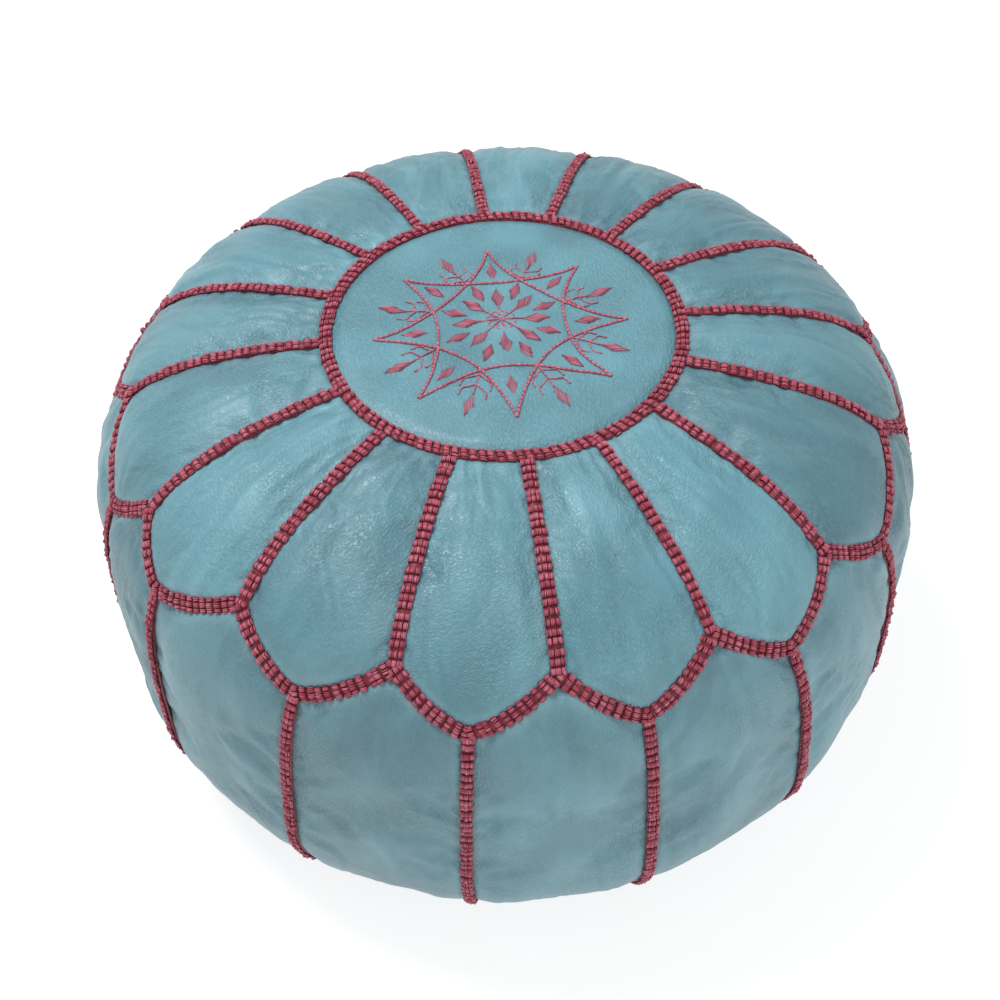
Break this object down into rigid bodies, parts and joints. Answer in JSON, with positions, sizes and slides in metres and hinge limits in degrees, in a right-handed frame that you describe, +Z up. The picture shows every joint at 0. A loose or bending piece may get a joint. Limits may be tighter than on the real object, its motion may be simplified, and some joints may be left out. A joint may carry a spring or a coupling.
{
  "type": "pouf",
  "caption": "Round low leather pouf with an embroidered medallion, petal panels, braided seams, a zipped flat base and a stuffed insert.",
  "frame": {"origin": "centre of the flat base, on the floor", "axes": "+Z up through the middle of the top medallion; the zip in the base runs along X; -Y is the front and a petal points at it"},
  "size_m": [0.5416, 0.542, 0.3116],
  "materials": {
    "petal_leather": "satin",
    "side_leather": "satin",
    "base_leather": "matte",
    "braid_thread": "matte",
    "star_thread": "satin",
    "zip_tape": "matte",
    "zip_metal": "satin",
    "cotton": "matte",
    "stuffing": "matte"
  },
  "bodies": {
    "pouf": {"top_medallion": "petal_leather", "star_embroidery": "star_thread", "ring_braid": "braid_thread", "petal_01": "petal_leather", "petal_02": "petal_leather", "petal_03": "petal_leather", "petal_04": "petal_leather", "petal_05": "petal_leather", "petal_06": "petal_leather", "petal_07": "petal_leather", "petal_08": "petal_leather", "petal_09": "petal_leather", "petal_10": "petal_leather", "petal_11": "petal_leather", "petal_12": "petal_leather", "petal_13": "petal_leather", "petal_14": "petal_leather", "petal_15": "petal_leather", "petal_16": "petal_leather", "radial_braid_01": "braid_thread", "radial_braid_02": "braid_thread", "radial_braid_03": "braid_thread", "radial_braid_04": "braid_thread", "radial_braid_05": "braid_thread", "radial_braid_06": "braid_thread", "radial_braid_07": "braid_thread", "radial_braid_08": "braid_thread", "radial_braid_09": "braid_thread", "radial_braid_10": "braid_thread", "radial_braid_11": "braid_thread", "radial_braid_12": "braid_thread", "radial_braid_13": "braid_thread", "radial_braid_14": "braid_thread", "radial_braid_15": "braid_thread", "radial_braid_16": "braid_thread", "scallop_side_braid": "braid_thread", "side_panel_01": "side_leather", "side_panel_02": "side_leather", "side_panel_03": "side_leather", "side_panel_04": "side_leather", "side_panel_05": "side_leather", "side_panel_06": "side_leather", "side_panel_07": "side_leather", "side_panel_08": "side_leather", "side_panel_09": "side_leather", "side_panel_10": "side_leather", "side_panel_11": "side_leather", "side_panel_12": "side_leather", "side_panel_13": "side_leather", "side_panel_14": "side_leather", "side_panel_15": "side_leather", "side_panel_16": "side_leather", "base_half_front": "base_leather", "base_half_back": "base_leather", "zip_stringer_front": "zip_tape", "zip_stringer_back": "zip_tape", "insert_bag": "cotton", "filling": "stuffing"},
    "slider": {"zip_slider": "zip_metal"},
    "pull_tab": {"zip_pull_tab": "zip_metal"}
  },
  "joints": [
    {"name": "zip_slide", "type": "slide", "parent": "pouf", "child": "slider", "axis": [-1, 0, 0], "range_m": [0, 0.27]},
    {"name": "pull_tab_hinge", "type": "hinge", "parent": "slider", "child": "pull_tab", "pos_m": [0.139, 0, 0.00555], "axis": [0, -1, 0], "range_deg": [0, 175]}
  ]
}
